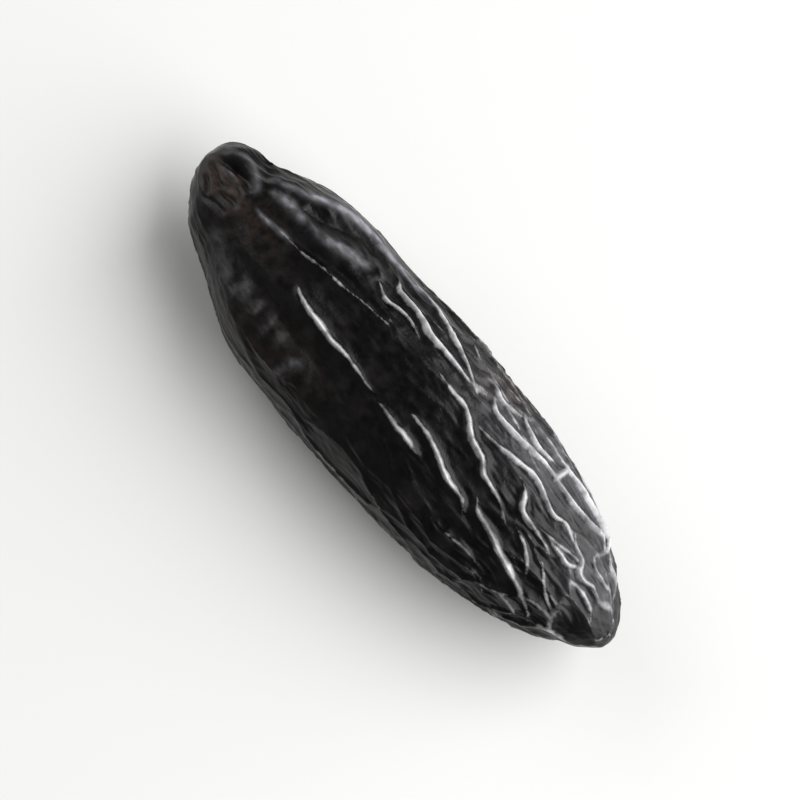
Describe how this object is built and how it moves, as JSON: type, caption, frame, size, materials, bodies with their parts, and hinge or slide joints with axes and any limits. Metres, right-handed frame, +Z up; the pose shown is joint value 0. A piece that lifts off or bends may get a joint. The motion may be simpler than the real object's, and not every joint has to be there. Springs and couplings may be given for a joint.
{
  "type": "tonka bean",
  "caption": "Dried tonka bean, one long wrinkled black seed with a collared hilum at its narrow end, lying on a small flat spot.",
  "frame": {"origin": "middle of the bean's bounding box, on the surface that the bean lies on", "axes": "+X along the bean from the hilum end to the blunt end, +Y across its width, +Z up through its thickness"},
  "size_m": [0.0382, 0.0122, 0.0091],
  "materials": {
    "seed_coat": "near-black wrinkled seed coat with a waxy satin gloss on its ridges"
  },
  "bodies": {
    "root": {"bean": "seed_coat"}
  },
  "joints": []
}
